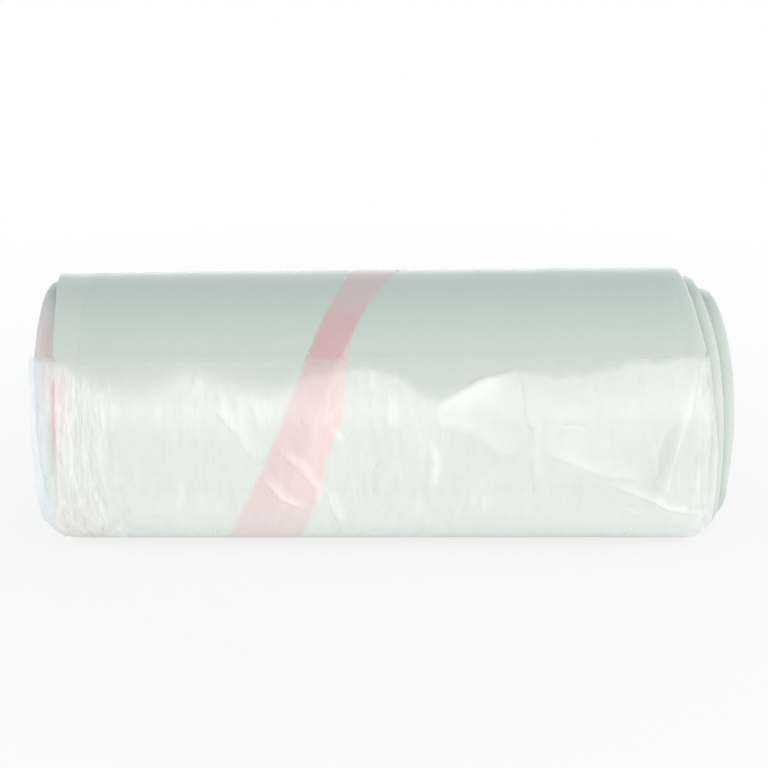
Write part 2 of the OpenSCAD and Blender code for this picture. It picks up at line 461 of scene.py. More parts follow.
# %% Ribbons that follow the skin
# Angle above the front, then the left and the right edge along the axis
STRIP_EDGES = [
    (250.0, 38.0, 51.5),
    (180.0, 16.5, 30.0),
    (95.0, -12.0, 4.6),
    (67.0, -18.7, -4.0),
    (48.5, -23.6, -9.7),
    (34.0, -27.6, -14.5),
    (16.5, -32.7, -20.0),
    (1.0, -38.0, -25.5),
    (-13.5, -44.6, -31.0),
    (-33.0, -51.4, -37.0),
    (-72.0, -60.0, -45.5),
]
PALE_EDGES = [
    (60.0, -20.0, -8.0),
    (41.0, -24.0, -11.4),
    (25.0, -29.0, -12.0),
    (8.0, -34.0, -13.1),
    (-5.0, -40.0, -19.0),
    (-24.0, -46.5, -22.1),
    (-34.0, -50.0, -25.1),
    (-72.0, -58.0, -33.0),
]

# %% Make the ribbons
# Over how many millimetres a ribbon's border turns from clear to pink
RIBBON_BORDER = 1.6


def ribbon(name, edges, lift, thickness, rows, columns):
    table = np.array(edges)[::-1]
    above_front = np.linspace(table[-1, 0], table[0, 0], rows)
    left = np.interp(above_front, table[:, 0], table[:, 1])
    right = np.interp(above_front, table[:, 0], table[:, 2])
    share = np.linspace(0.0, 1.0, columns)[None, :]
    x = left[:, None] * (1.0 - share) + right[:, None] * share
    direction = (FRONT - above_front)[:, None] + 0.0 * x
    out = outwards(direction, x)
    base = skin_point(direction, x)
    from_edge = np.minimum(x - left[:, None], right[:, None] - x).ravel()
    inside = np.concatenate([from_edge, 0.0 * from_edge])
    top_side = base + (lift + thickness) * out
    under_side = base + lift * out
    points = np.concatenate([top_side.reshape(-1, 3), under_side.reshape(-1, 3)])
    size = rows * columns
    faces = grid_faces(rows, columns)
    faces += [face[::-1] for face in grid_faces(rows, columns, size)]
    rim = list(range(columns)) + [row * columns + columns - 1 for row in range(1, rows)]
    rim += [(rows - 1) * columns + c for c in range(columns - 2, -1, -1)]
    rim += [row * columns for row in range(rows - 2, 0, -1)]
    faces += [[b, a, a + size, b + size] for a, b in zip(rim, rim[1:] + rim[:1])]
    piece = make_mesh(name, points, faces, {"inside": smooth(inside / RIBBON_BORDER)})
    finish_surface(piece, 40.0)
    pass_light(piece)
    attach(piece, "root")
    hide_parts("soluble_strip")
    return piece


RIBBON_FILM = 0.04
soluble_ribbon = ribbon("soluble_ribbon", STRIP_EDGES, 0.08, RIBBON_FILM, rows=220, columns=14)
parted_ply = ribbon("parted_ply", PALE_EDGES, 0.02, RIBBON_FILM, rows=130, columns=16)

# %% [markdown]
# ## The loose last ply
# The web's last stretch hangs loose from its free edge on the upper front down to the flat
# spot, where the roll's weight holds it. Thin film that is loose on a roll buckles into
# sharp little ridges with flat facets between them. Each ridge here is a line with a sharp
# crest that dies away on both sides: the large ones are placed one by one, and the many
# small ones come from a seeded random draw. The height of the film over the body is kept
# on its points, because film that touches what is below takes its colour, and film that
# stands off looks white. Cloth simulation would make creases too, but at other places than
# those of the real roll.

# %% Where the film clings, and the large creases
# Along the axis in mm, the angle above the front, and over how many degrees it comes loose
CLING_LINE = [
    (-122.0, 42.0, 6.0),
    (-115.0, 40.0, 7.0),
    (-109.0, 37.0, 10.0),
    (-96.0, 36.0, 20.0),
    (-82.0, 39.0, 26.0),
    (-68.0, 42.0, 18.0),
    (-54.0, 37.0, 20.0),
    (-40.0, 31.0, 16.0),
    (-25.0, 34.0, 10.0),
    (-8.0, 36.0, 8.0),
    (5.0, 33.0, 8.0),
    (15.0, 21.0, 9.0),
    (32.0, 26.0, 3.0),
    (45.0, 31.0, 4.0),
    (63.0, 30.0, 7.0),
    (80.0, 35.0, 7.0),
    (95.0, 37.0, 7.0),
    (113.0, 38.0, 6.0),
]

# %% The large creases
# Each crease: height, widths to its left and right (or below and above), and its points,
# which are x and the angle above the front, in mm and degrees
CREASES = [
    (0.50, 1.2, 5.0, [(-67.0, 37.0), (-63.4, 31.4), (-65.4, 17.6)]),
    (0.35, 2.0, 3.0, [(-57.2, 26.0), (-54.1, 10.6)]),
    (0.50, 1.0, 6.0, [(-59.9, 16.7), (-50.1, 3.3), (-45.1, -3.7), (-43.0, -4.4)]),
    (0.30, 2.0, 3.0, [(-49.9, 22.5), (-48.3, 4.0)]),
    (0.35, 2.0, 3.0, [(-45.1, 21.6), (-41.8, 2.6)]),
    (0.30, 1.5, 2.5, [(-41.0, 19.9), (-39.0, 4.7)]),
    (0.30, 2.0, 3.0, [(-70.3, -11.2), (-72.5, -31.0)]),
    (0.95, 1.5, 3.5, [(-36.7, 0.0), (-27.8, -8.4), (-22.7, -16.9), (-24.3, -28.0)]),
    (0.90, 1.5, 3.5, [(-42.1, -10.4), (-35.4, -22.1), (-26.5, -29.2)]),
    (-0.30, 1.0, 1.4, [(-38.0, 0.0), (-43.1, -8.3)]),
    (0.50, 3.0, 1.0, [(-18.3, 6.8), (-13.1, 0.2)]),
    (0.40, 2.5, 1.2, [(-17.9, 14.3), (-19.7, 4.6)]),
    (0.35, 1.0, 3.0, [(-4.8, 33.0), (-4.5, 19.5)]),
    (0.50, 0.8, 4.0, [(1.7, 22.0), (2.4, 3.0)]),
    (-0.40, 0.9, 2.0, [(0.0, -2.2), (-3.8, -10.6), (-2.5, -26.2)]),
    (0.50, 1.0, 4.0, [(-19.6, -17.0), (-14.6, -40.8)]),
    (0.70, 9.0, 1.2, [(16.2, 12.0), (32.4, 23.8), (44.1, 28.9)]),
    (0.40, 2.0, 6.0, [(16.2, 12.0), (20.7, 6.6), (30.0, 4.7), (40.8, -1.7), (49.2, -3.1)]),
    (-0.45, 0.8, 1.0, [(45.4, 44.9), (45.9, 34.3), (48.2, 21.6), (48.9, 7.9), (51.1, 4.5), (50.9, -3.5)]),
    (-0.40, 0.8, 1.0, [(50.9, -3.5), (52.4, -15.4), (53.4, -24.1)]),
    (0.40, 0.8, 3.0, [(50.3, 12.0), (52.6, 4.0), (52.4, -3.5), (54.0, -15.4)]),
    (-0.20, 0.6, 0.6, [(67.8, 17.7), (68.5, 13.6)]),
    (-0.20, 0.6, 0.8, [(60.0, 7.1), (71.7, 5.5)]),
    (0.40, 1.5, 7.0, [(52.5, 2.7), (57.8, -2.5), (71.2, -8.9), (79.0, -11.9), (92.0, -13.3)]),
    (0.70, 5.0, 0.8, [(108.1, 29.6), (105.4, 9.4), (100.1, -9.0), (98.9, -26.6)]),
    (0.50, 2.0, 1.0, [(101.6, 8.7), (97.0, 2.5), (94.5, -2.6), (95.0, -11.1), (96.5, -18.0)]),
    (0.65, 1.0, 4.0, [(76.7, -14.1), (95.2, -24.3), (100.5, -29.1), (114.8, -33.9)]),
    (-0.40, 0.8, 0.8, [(112.0, 33.6), (113.3, 21.0), (114.0, 2.4), (113.2, -9.1), (113.6, -26.7)]),
    (0.35, 0.8, 1.0, [(35.4, -19.7), (35.7, -31.5)]),
    (0.45, 0.8, 1.0, [(85.3, -28.4), (91.0, -33.1)]),
    (0.55, 2.0, 2.5, [(15.5, 2.9), (18.4, -5.5), (17.2, -19.6)]),
    (-0.60, 0.7, 0.7, [(-106.6, 41.9), (-106.0, 17.1), (-106.8, 1.5), (-107.4, -8.8)]),
    (0.60, 0.8, 1.0, [(-111.2, 17.1), (-112.8, -1.3), (-114.1, -36.9)]),
    (0.60, 0.8, 1.0, [(-102.9, 17.1), (-104.0, 1.5), (-103.6, -23.4)]),
    (0.45, 0.9, 1.2, [(-100.2, 25.5), (-99.3, 8.9)]),
    (0.45, 0.9, 1.2, [(-97.4, 19.1), (-96.6, 5.1), (-98.7, -1.4)]),
    (0.60, 0.8, 0.9, [(-109.3, 9.0), (-107.7, -1.4), (-110.6, -23.4)]),
    (0.60, 0.8, 1.0, [(-102.6, -8.9), (-102.9, -23.4), (-105.2, -33.0)]),
    (0.35, 0.9, 1.2, [(-95.2, 32.2), (-94.0, 17.0)]),
]
print(len(CREASES), "creases placed one by one")

# %% Height of a crease, and the small creases
# A degree round the front is this long, and a crease dies away over this share of its length
DEGREE_MM = 0.847
CREASE_ENDS = 0.3
CREST_SHARPNESS = 1.3
# The ply is crumpled from its left edge to here
PLY_LEFT = -122.0
CRUMPLED_TO = -90.0


def crease_height(x, arc, crease):
    """A bent line that stands out, or if negative sinks in, with a flat slope on each side."""
    height, low_width, high_width, points = crease
    line = np.array([(place, angle * DEGREE_MM) for place, angle in points])
    lengths = np.hypot(*np.diff(line, axis=0).T)
    nearest = np.full(x.shape, 1e9)
    side = np.ones(x.shape)
    place = np.zeros(x.shape)
    walked = 0.0
    for start, end, length in zip(line, line[1:], lengths):
        along = (end - start) / length
        dx = x - start[0]
        dy = arc - start[1]
        reach = np.clip(dx * along[0] + dy * along[1], 0.0, length)
        gap = np.hypot(dx - reach * along[0], dy - reach * along[1])
        closer = gap < nearest
        nearest = np.where(closer, gap, nearest)
        side = np.where(closer, dy * along[0] - dx * along[1], side)
        place = np.where(closer, (walked + reach) / lengths.sum(), place)
        walked += length
    width = np.where(side > 0.0, high_width, low_width)
    ends = smooth(place / CREASE_ENDS + 0.05) * smooth((1.0 - place) / CREASE_ENDS + 0.05)
    return height * ends * np.maximum(0.0, 1.0 - nearest / width) ** CREST_SHARPNESS


def small_creases(count, seed):
    """Short, low creases: two in three at the crumpled left end, and a few at the right edge."""
    draw = np.random.default_rng(seed)
    creases = []
    for number in range(count):
        left, right = (CRUMPLED_TO, 114.0) if number % 3 == 0 else (PLY_LEFT, CRUMPLED_TO)
        x = draw.uniform(left, right)
        angle = draw.uniform(-66.0, 34.0)
        near_left = float(smooth((-88.0 - x) / 14.0))
        lean = math.radians(draw.normal(0.0, 15.0 - 9.0 * near_left))
        length = draw.uniform(7.0, 26.0)
        height = draw.choice([-0.8, 1.0]) * draw.uniform(0.05, 0.18) * (1.0 + 1.2 * near_left)
        height *= 1.0 - 0.5 * float(smooth((x - 30.0) / 20.0))
        wide = draw.uniform(1.2, 4.0, 2) * (1.0 - 0.5 * near_left)
        end = (x + length * math.sin(lean), angle - length * math.cos(lean) / DEGREE_MM)
        creases.append((height, wide[0], wide[1], [(x, angle), end]))
    for _ in range(count // 6):
        x = draw.uniform(108.0, 115.5)
        angle = draw.uniform(-50.0, 34.0)
        end = (x + draw.uniform(-0.6, 0.9), angle - draw.uniform(4.0, 16.0))
        height = draw.choice([-1.0, 1.0]) * draw.uniform(0.12, 0.3)
        creases.append((height, draw.uniform(0.7, 1.4), draw.uniform(0.7, 1.4), [(x, angle), end]))
    return creases


# %% Sheet of the loose ply
TAIL_ROWS = 142
# Where the ply has points along the axis: from, to and how far apart, in mm
TAIL_SPACING = [(PLY_LEFT, -92.0, 0.5), (-92.0, 92.0, 1.0), (92.0, 113.3, 0.6)]
# The ply's own edges: the angle above the front, and where its left and right edge lie
TAIL_EDGES = [
    (-82.0, -113.6, 112.5),
    (-57.0, -114.0, 113.5),
    (-50.0, -118.2, 115.2),
    (-42.0, -121.0, 116.6),
    (-19.0, -121.6, 116.5),
    (0.0, -121.8, 116.0),
    (15.0, -122.0, 114.2),
    (25.0, -122.3, 113.2),
    (37.0, -122.9, 112.4),
]
# Painted shade of a dent, which the mesh does not have, where the film also clings a little
# more: x, angle, half its width in mm, half its height in degrees, and how strongly
SHADED_DENTS = [(98.0, -5.5, 6.0, 22.0, 1.0)]
TAIL_END_AT = 262.0
# In mm: the ply's thickness, its gap over the body, how far it stands off where it is loose,
# the height at which it is white, and how far its left flap hangs in
PLY = 0.12
GAP = 0.27
LOOSE_LIFT = 0.45
WHITE_AT = 1.1
FLAP_DROP = 1.6
# Where the left flap starts, and the angle at which the roll's weight holds the ply down
FLAP_FROM = -116.2
HELD_FROM = -68.0
STRIP_BORDER = 1.2
SMALL_CREASES = 230
BORDER_AVERAGE = (-5.0, -2.5, 0.0, 2.5, 5.0)


def tail_columns():
    """Shares of the ply's width at which it has points: closest at the crumpled left end."""
    places = np.concatenate([np.arange(*stretch) for stretch in TAIL_SPACING])
    return (places - places[0]) / (places[-1] - places[0])


# %% Where the ply lies over the strip, and which side of it shows
def over_strip(x, above_front):
    """1 where the ply lies over the strip or its parted ply, and 0 beside them."""
    strip = np.array(STRIP_EDGES)[::-1].T
    pale = np.array(PALE_EDGES)[::-1].T
    left = np.interp(above_front, strip[0], strip[1])
    right = np.interp(above_front, pale[0], pale[2])
    return smooth(np.minimum(x - left, right - x) / STRIP_BORDER)


def hide_under_side(piece, count, value):
    """Only the outer side of the film shows, or its two sides would hide twice as much."""
    places = np.empty(len(piece.data.vertices) * 3)
    piece.data.vertices.foreach_get("co", places)
    reach = np.linalg.norm(places.reshape(-1, 3)[:, 1:] - [0.0, HEIGHT / 2.0 * MM], axis=1)
    layer = piece.data.attributes[value].data
    shown = np.empty(len(layer))
    layer.foreach_get("value", shown)
    if reach[:count].mean() < reach[count:].mean():
        shown[:count] = 0.0
    else:
        shown[count:] = 0.0
    layer.foreach_set("value", shown)


# %% Points of the ply
def ply_grid():
    """The place along the axis and the angle of each point, and how far its corner has slipped."""
    direction = np.linspace(TAIL_AT, TAIL_END_AT, TAIL_ROWS)[:, None]
    share = tail_columns()[None, :]
    above_front = FRONT - direction
    edges = np.array(TAIL_EDGES).T
    left = np.interp(above_front, edges[0], edges[1]) + 0.3 * noise_line(31, 9.0)(direction)
    right = np.interp(above_front, edges[0], edges[2]) + 0.4 * noise_line(32, 11.0)(direction)
    x = left * (1.0 - share) + right * share
    direction = direction + 0.0 * x
    above_front = above_front + 0.0 * x
    corner = 3.0 * smooth((-112.0 - x) / 7.0) * smooth((above_front - 17.0) / 20.0)
    return x, direction - corner, above_front + corner, corner


# %% How far the film stands off
def how_loose(x, above_front):
    """0 where the ply clings to the body and 1 where it has come loose."""
    cling = np.array(CLING_LINE)
    borders = [np.interp(x + shift, cling[:, 0], cling[:, 1]) for shift in BORDER_AVERAGE]
    border = sum(borders) / len(borders) + 0.8 * noise_line(36, 5.0)(x)
    softness = np.interp(x, cling[:, 0], cling[:, 2])
    return smooth((border - above_front) / softness)


def film_height(x, above_front, loose):
    """A soft swell with all the creases on it, in mm, held down at the flat spot."""
    arc = above_front * DEGREE_MM
    relief = np.zeros_like(x)
    for crease in CREASES + small_creases(SMALL_CREASES, 41):
        relief += crease_height(x, arc, crease)
    held = loose * smooth((above_front - HELD_FROM) / 14.0)
    swell = 1.0 + 0.5 * noise_line(33, 17.0)(x + 0.3 * arc) * noise_line(34, 19.0)(arc)
    height = (LOOSE_LIFT * swell + relief) * held
    return (height + np.sqrt(height * height + 0.02)) / 2.0 - 0.07


# Where the painted shade of a dent falls; the mesh is not pushed in here
def dent_shade_mask(x, above_front):
    dent_shade = np.zeros_like(x)
    for middle, angle, half_width, half_height, depth in SHADED_DENTS:
        across = (x - middle - 0.22 * (above_front - angle)) / half_width
        away = np.hypot(across, (above_front - angle) / half_height)
        dent_shade = np.maximum(dent_shade, smooth(1.0 - away) * depth)
    return dent_shade


# %% What the film tells its material
def film_values(x, above_front, corner, loose, height):
    dent_shade = dent_shade_mask(x, above_front)
    near_left = smooth((CRUMPLED_TO - x) / 12.0)
    near_right = smooth((x - 106.0) / 5.0)
    middle = smooth((x + 78.0) / 12.0) * smooth((28.0 - x) / 20.0)
    red_edge = smooth((0.9 - np.abs(x + 113.6)) / 0.7) * smooth((28.0 - above_front) / 5.0)
    return {
        "lift": np.clip(height / WHITE_AT, 0.0, 1.0),
        "loose": loose * (1.0 - 0.3 * dent_shade),
        "shown": smooth((TAIL_ANGLE - above_front + corner) / 4.0),
        "dent_shade": dent_shade * loose,
        "strip": over_strip(x, above_front) * loose,
        "red": red_edge * smooth((above_front + 8.0) / 10.0),
        "crinkle": loose * np.clip(near_left + 0.5 * near_right + 0.35 * middle + 0.12, 0.0, 1.0),
        "blush": near_left * smooth((x + 116.5) / 2.0) * loose,
    }


# %% Make the loose ply
def thicken(piece, thickness):
    """Gives a sheet its two sides, with the Solidify modifier."""
    solid = piece.modifiers.new("film", "SOLIDIFY")
    solid.thickness = thickness
    solid.offset = 0.0
    bpy.ops.object.select_all(action="DESELECT")
    bpy.context.view_layer.objects.active = piece
    piece.select_set(True)
    bpy.ops.object.modifier_apply(modifier="film")


def loose_ply():
    x, direction, above_front, corner = ply_grid()
    loose = how_loose(x, above_front)
    height = film_height(x, above_front, loose)
    down = smooth((FLAP_FROM - x) / 4.0) * smooth((above_front + 64.0) / 20.0)
    rise = GAP + height - FLAP_DROP * down
    points = skin_point(direction, x) + rise[..., None] * outwards(direction, x)
    values = film_values(x, above_front, corner, loose, height)
    piece = make_mesh("loose_ply", points.reshape(-1, 3), grid_faces(*x.shape), values)
    thicken(piece, PLY * MM)
    hide_under_side(piece, x.size, "shown")
    finish_surface(piece, 60.0)
    pass_light(piece)
    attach(piece, "root")
    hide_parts("bag_roll")
    return piece


last_ply = loose_ply()

# %% [markdown]
# ## Writing shader maths in Python
# A material is a graph of nodes, and sums of nodes are hard to read. A small class wraps a
# socket, so that Python's own operators add the Math nodes, and every other node comes from
# one method that takes its type, its settings and what goes into its sockets.


# %% A socket that can be added and multiplied
class Wire:
    def __init__(self, finish, socket):
        self.finish = finish
        self.socket = socket

    def maths(self, operation, first, second):
        return self.finish.node("ShaderNodeMath", {"operation": operation}, {0: first, 1: second})

    def __add__(self, other):
        return self.maths("ADD", self, other)

    def __sub__(self, other):
        return self.maths("SUBTRACT", self, other)

    def __rsub__(self, other):
        return self.maths("SUBTRACT", other, self)

    def __mul__(self, other):
        return self.maths("MULTIPLY", self, other)

    __radd__ = __add__
    __rmul__ = __mul__


# %% A material while it is made
class Finish:
    """Adds nodes to a material, and values or wires to their sockets."""

    def __init__(self, name):
        self.material = bpy.data.materials.new(name)
        self.material.use_nodes = True
        self.tree = self.material.node_tree
        self.shader = self.tree.nodes["Principled BSDF"]

    def put(self, socket, value):
        if isinstance(value, Wire):
            self.tree.links.new(value.socket, socket)
        else:
            socket.default_value = value

    def node(self, kind, settings=None, sockets=None, output=0):
        node = self.tree.nodes.new(kind)
        for name, value in (settings or {}).items():
            setattr(node, name, value)
        for name, value in (sockets or {}).items():
            self.put(node.inputs[name], value)
        return Wire(self, node.outputs[output])

    def mix(self, share, first, second):
        return self.node("ShaderNodeMix", {"data_type": "RGBA"}, {0: share, 6: first, 7: second}, output=2)

    def value(self, name):
        return self.node("ShaderNodeAttribute", {"attribute_name": name}, output=2)

    def place(self, scale=(1.0, 1.0, 1.0)):
        coordinates = self.node("ShaderNodeTexCoord", output=3)
        return self.node("ShaderNodeMapping", None, {"Vector": coordinates, "Scale": scale})

    def noise(self, scale, detail=3.0, stretch=(1.0, 1.0, 1.0), roughness=0.5):
        sockets = {"Vector": self.place(stretch), "Scale": scale, "Detail": detail, "Roughness": roughness}
        return self.node("ShaderNodeTexNoise", None, sockets)

    def cells(self, scale, stretch):
        """Distance to the nearest border of a cell, which makes folds with flat sides."""
        settings = {"feature": "DISTANCE_TO_EDGE"}
        return self.node("ShaderNodeTexVoronoi", settings, {"Vector": self.place(stretch), "Scale": scale})

    def axes(self):
        """The place on the piece along X, Y and Z, in metres."""
        coordinates = self.node("ShaderNodeTexCoord", output=3)
        apart = self.node("ShaderNodeSeparateXYZ", None, {0: coordinates})
        return apart, Wire(self, apart.socket.node.outputs[1]), Wire(self, apart.socket.node.outputs[2])

    def band(self, value, middle, reach, fade):
        """1 within reach of the middle, and 0 beyond the fade on either side."""
        away = self.maths("ABSOLUTE", value - middle)
        return self.node(
            "ShaderNodeMapRange", {"clamp": True}, {0: away, 1: reach, 2: reach + fade, 3: 1.0, 4: 0.0}
        )

    def maths(self, operation, first, second=0.0):
        return self.node("ShaderNodeMath", {"operation": operation}, {0: first, 1: second})

    def ramp(self, value, low, high):
        """Rises from 0 to 1 as the value goes from low to high."""
        return self.node("ShaderNodeMapRange", {"clamp": True}, {0: value, 1: low, 2: high, 3: 0.0, 4: 1.0})

    def bump(self, height, distance, strength=1.0, under=None):
        sockets = {"Height": height, "Distance": distance, "Strength": strength}
        if under is not None:
            sockets["Normal"] = under
        return self.node("ShaderNodeBump", None, sockets)

    def set(self, **values):
        for name, value in values.items():
            self.put(self.shader.inputs[name.replace("_", " ")], value)

    def paint(self, *pieces):
        for piece in pieces:
            piece.data.materials.clear()
            piece.data.materials.append(self.material)
        print(self.material.name, "has", len(self.tree.nodes), "nodes")


# %% Colours
def colour(red, green, blue):
    """A colour as a screen shows it, from 0 to 255, in the linear values that shaders use."""
    linear = [level / 12.92 if level <= 0.04045 else ((level + 0.055) / 1.055) ** 2.4
              for level in (red / 255.0, green / 255.0, blue / 255.0)]
    return (*linear, 1.0)


# %% [markdown]
# ## Film on the wound body
# Many plies of milky film lie on each other here, tight and without air between them. The
# light goes in, scatters and comes back grey-green, so the finish is a pale colour with a
# little subsurface scattering and a satin coat. The film's edges on the ends are drawn by
# the crest value that the mesh carries: crests are pale and grooves are darker. At the
# left end the strip shows through the film, so the turns there are a little pink.

# %% Wound film
TIGHT_FILM = colour(211, 219, 209)
TIGHT_FILM_DULL = colour(205, 213, 204)
# The cool film is a painted sky reflection, laid over the top of the roll
SKY_SHEEN_FILM = colour(204, 224, 219)
SECOND_PLY = colour(220, 224, 218)
INNER_VIOLET = colour(224, 221, 221)
RIGHT_TURNS = colour(240, 244, 238)
GROOVE_SHADE = colour(176, 192, 182)
END_PINK = colour(226, 176, 178)
# Places in metres. A ramp has where it starts and where it is full, and a band has its
# middle, how far it reaches and over how much it fades.
FRONT_FACE = (0.030, 0.040)
UPPER_HALF = (0.050, 0.060)
SKY_SHEEN_TOP = (0.074, 0.094)
FRONT_TURNS = (0.005, 0.020)
END_TURNS = (0.05, 0.06)
BUCKLED_BACK = (0.022, 0.040)
SECOND_PLY_X = (-0.1105, 0.0046, 0.0004)
PINK_TURN_X = (-0.1180, 0.0012, 0.0008)
PINK_TURN_Z = (0.072, 0.008, 0.006)
PINK_PATCH_X = (-0.1118, 0.0018, 0.0016)
PINK_PATCH_Z = (0.06, 0.006, 0.008)


def wound_film():
    film = Finish("wound_film")
    clouds = film.noise(16.0, 3.0, (1.0, 1.6, 1.6))
    lines = film.noise(60.0, 2.0, (6.0, 0.5, 0.5))
    body = film.mix(clouds * 0.7 + lines * 0.3, TIGHT_FILM, TIGHT_FILM_DULL)
    x, y, z = film.axes()
    front = film.ramp(y * -1.0, *FRONT_FACE)
    upper = film.ramp(z, *UPPER_HALF)
    turns = film.value("turns") * film.ramp(y * -1.0, *FRONT_TURNS)
    left_turns = turns * film.ramp(x * -1.0, *END_TURNS) * upper
    right_turns = turns * film.ramp(x, *END_TURNS)
    pink_turn = left_turns * film.band(x, *PINK_TURN_X) * film.band(z, *PINK_TURN_Z) * 0.45
    pink_patch = film.band(x, *PINK_PATCH_X) * front * film.band(z, *PINK_PATCH_Z) * 0.6
    # Painted sky reflection: the top of the roll is tinted cool and grey-blue
    body = film.mix(film.ramp(z, *SKY_SHEEN_TOP) * 0.5, body, SKY_SHEEN_FILM)
    body = film.mix(film.band(x, *SECOND_PLY_X) * 0.22, body, SECOND_PLY)
    body = film.mix(film.value("crest"), GROOVE_SHADE, body)
    body = film.mix(left_turns * 0.9, body, INNER_VIOLET)
    body = film.mix(right_turns * 0.32, body, RIGHT_TURNS)
    film.set(Base_Color=film.mix(pink_turn + pink_patch, body, END_PINK))
    fine = film.noise(55.0, 4.0, (4.0, 0.8, 0.8))
    buckles = film.cells(34.0, (1.6, 0.5, 0.5)) * film.ramp(y, *BUCKLED_BACK)
    film.set(Roughness=lines * 0.12 + 0.4)
    film.set(Normal=film.bump(fine, 0.0005, 0.5, film.bump(buckles, 0.008, 0.8)))
    film.set(Subsurface_Weight=0.5, Subsurface_Scale=0.012, Subsurface_Radius=(1.0, 1.1, 1.0))
    film.set(Specular_IOR_Level=0.25, IOR=1.5, Coat_Weight=0.06, Coat_Roughness=0.28)
    film.paint(wound_web)


wound_film()

# %% [markdown]
# ## Film of the loose ply
# One ply is see-through. Where it clings to the body it nearly vanishes, so there it takes
# the body's own colour, and where it stands off the air behind it turns it white. Its
# colour and how much it hides follow the lift that the mesh carries. Light goes on through
# film this thin, so neither this ply nor the strip shades what is below. The finest
# crinkles are far smaller than the faces of the mesh, so they come from the borders of a
# cell pattern, drawn out along the winding.

# %% Loose film
LOOSE_FILM = colour(235, 239, 231)
LOOSE_FILM_LIFTED = colour(250, 252, 249)
# Near white, for the painted light at the foot and the painted glints
PAINTED_LIGHT_WHITE = colour(253, 254, 253)
STRIP_SHOWING = colour(250, 225, 222)
LEFT_BLUSH = colour(240, 234, 231)
FLAP_BLUE = colour(228, 237, 241)
DENT_SHADE_GREEN = colour(222, 230, 212)
RED_LINE = colour(232, 160, 164)
LEFT_FLAP = (0.1155, 0.1175)
LIT_FOOT = (-0.030, 0.0)
# Even clinging film hides this much, or a line would show where it comes loose
CLINGING_ALPHA = 0.34


def loose_film():
    film = Finish("loose_film")
    lift = film.value("lift")
    loose = film.value("loose")
    crinkle = film.value("crinkle")
    streaks = film.noise(70.0, 4.0, (2.6, 0.7, 0.7), 0.6)
    large = film.cells(120.0, (1.5, 0.4, 0.4))
    small = film.cells(330.0, (1.5, 0.45, 0.45))
    pleats = film.cells(300.0, (3.2, 0.26, 0.26))
    # Painted highlights: white glints along the pleats at the crumpled left end
    painted_glints = (1.0 - film.ramp(pleats, 0.0, 0.16)) * film.value("blush")
    x, _, z = film.axes()
    flap = film.ramp(x * -1.0, *LEFT_FLAP)
    # Painted light: over the lowest 30 mm the ply is painted whiter towards the floor and hides more of the
    # body, partly as loose film that stands off and partly as light from below
    lit_foot = film.ramp(z * -1.0, *LIT_FOOT)
    white = film.mix(lift, LOOSE_FILM, LOOSE_FILM_LIFTED)
    white = film.mix(lit_foot * 0.9, white, PAINTED_LIGHT_WHITE)
    white = film.mix(film.value("strip") * 0.6, white, STRIP_SHOWING)
    white = film.mix(film.value("blush") * 0.7, white, LEFT_BLUSH)
    white = film.mix(painted_glints * 0.65, white, PAINTED_LIGHT_WHITE)
    white = film.mix(flap * 0.8, white, FLAP_BLUE)
    # Painted shade in the dent: darker, greener film
    white = film.mix(film.value("dent_shade") * 0.8, white, DENT_SHADE_GREEN)
    white = film.mix(loose, TIGHT_FILM, white)
    film.set(Base_Color=film.mix(film.value("red") * 0.5, white, RED_LINE))
    stands_off = loose * (streaks * 0.12 + lift * 0.36 + crinkle * 0.14 + lit_foot * 0.42)
    film.set(Alpha=film.value("shown") * (stands_off + CLINGING_ALPHA))
    film.set(Roughness=streaks * 0.12 + 0.24)
    coarse = film.bump(large * crinkle, 0.0016, 0.8)
    fine = film.bump(small * crinkle, 0.0006, 0.7, coarse)
    film.set(Normal=film.bump(pleats * film.value("blush"), 0.0006, 0.5, fine))
    film.set(Specular_IOR_Level=0.4, IOR=1.5)
    film.paint(last_ply)


loose_film()

# %% [markdown]
# ## Film of the soluble strip
# The strip is a different plastic: a soft, satin film that is dyed pink right through. It
# lies under a milky ply, so its borders are soft and its colour is quiet. The upper ply
# hides most of what is below it, and the parted ply is paler and thinner. Over the top of
# the roll the strip is clearer, and it is painted paler and bluer there as a sheen of the
# sky, so its colour and cover follow the height.

# %% Pink film
STRIP_PINK = colour(214, 179, 179)
STRIP_PINK_DEEP = colour(206, 167, 168)
PARTED_PINK = colour(252, 200, 198)
TOP_PINK_SHEEN = colour(236, 198, 206)
CLEAR_TOP = (0.078, 0.097)
PINK_SHEEN_TOP = (0.087, 0.096)


def pink_film(name, pale, deep, hides, *pieces):
    film = Finish(name)
    clouds = film.noise(45.0, 3.0)
    _, _, z = film.axes()
    clear_top = film.ramp(z, *CLEAR_TOP)
    # Painted sky sheen: the pink turns paler and bluer over the top of the roll
    pink_sheen_top = film.ramp(z, *PINK_SHEEN_TOP)
    film.set(Base_Color=film.mix(pink_sheen_top, film.mix(clouds, pale, deep), TOP_PINK_SHEEN))
    film.set(Alpha=film.value("inside") * (clouds * 0.1 + hides - clear_top * 0.4))
    film.set(Roughness=film.noise(90.0, 2.0) * 0.1 + 0.38)
    film.set(Normal=film.bump(film.noise(120.0, 3.0, (2.0, 0.8, 0.8)), 0.0002, 0.4))
    film.set(IOR=1.5)
    film.paint(*pieces)


pink_film("strip_film", STRIP_PINK, STRIP_PINK_DEEP, 0.88, soluble_ribbon)
pink_film("parted_film", PARTED_PINK, STRIP_PINK, 0.85, parted_ply)

# %% [markdown]
# ## Floor, light and camera
# The photograph has a bare white ground. The floor is mostly plain white to the camera,
# and keeps a share of its own shade near the roll, which holds the roll's shadow. Two soft
# lamps low in front brighten the roll's front and foot, three more light its back and its
# ends, and an even, cool sky keeps its top grey, as in the photograph.

# %% White floor
FLOOR_SIZE = 6.0
# How white the floor is near the roll, and from where to where it gets wholly white
FLOOR_CLEAR = 0.8
FLOOR_FADE = (0.12, 0.5)
WHITE = (1.0, 1.0, 1.0, 1.0)


